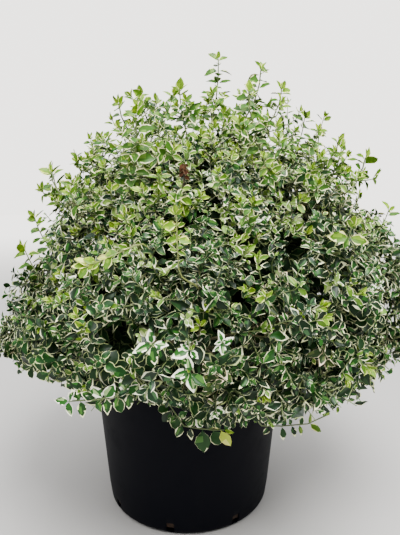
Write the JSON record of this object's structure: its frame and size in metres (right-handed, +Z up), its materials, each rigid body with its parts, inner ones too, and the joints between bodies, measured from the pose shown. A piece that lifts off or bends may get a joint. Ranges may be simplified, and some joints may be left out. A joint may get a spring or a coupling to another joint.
{
  "type": "potted euonymus",
  "caption": "Low, dense dome of small cream-edged evergreen leaves on thin twigs, growing from a short stem in a round black nursery pot.",
  "frame": {"origin": "centre of the pot's flat underside, on the surface that the pot stands on", "axes": "+Z up along the pot's axis; -Y towards the side that the picture shows; +X to the right of that view"},
  "size_m": [0.6546, 0.6544, 0.7035],
  "materials": {
    "pot": "satin, moulded",
    "soil": "rough, crumbly",
    "bark": "rough bark",
    "leaves": "waxy leaves, green with cream edges"
  },
  "bodies": {
    "root": {"pot": "pot", "potting_soil": "soil", "main_stem": "bark", "skirt_1_bough": "bark", "skirt_2_bough": "bark", "skirt_3_bough": "bark", "skirt_4_bough": "bark", "skirt_5_bough": "bark", "skirt_6_bough": "bark", "shoulder_1_bough": "bark", "shoulder_2_bough": "bark", "shoulder_3_bough": "bark", "shoulder_4_bough": "bark", "top_bough": "bark", "skirt_1_foliage": "leaves", "skirt_2_foliage": "leaves", "skirt_3_foliage": "leaves", "skirt_4_foliage": "leaves", "skirt_5_foliage": "leaves", "skirt_6_foliage": "leaves", "shoulder_1_foliage": "leaves", "shoulder_2_foliage": "leaves", "shoulder_3_foliage": "leaves", "shoulder_4_foliage": "leaves", "top_foliage": "leaves"}
  },
  "joints": []
}
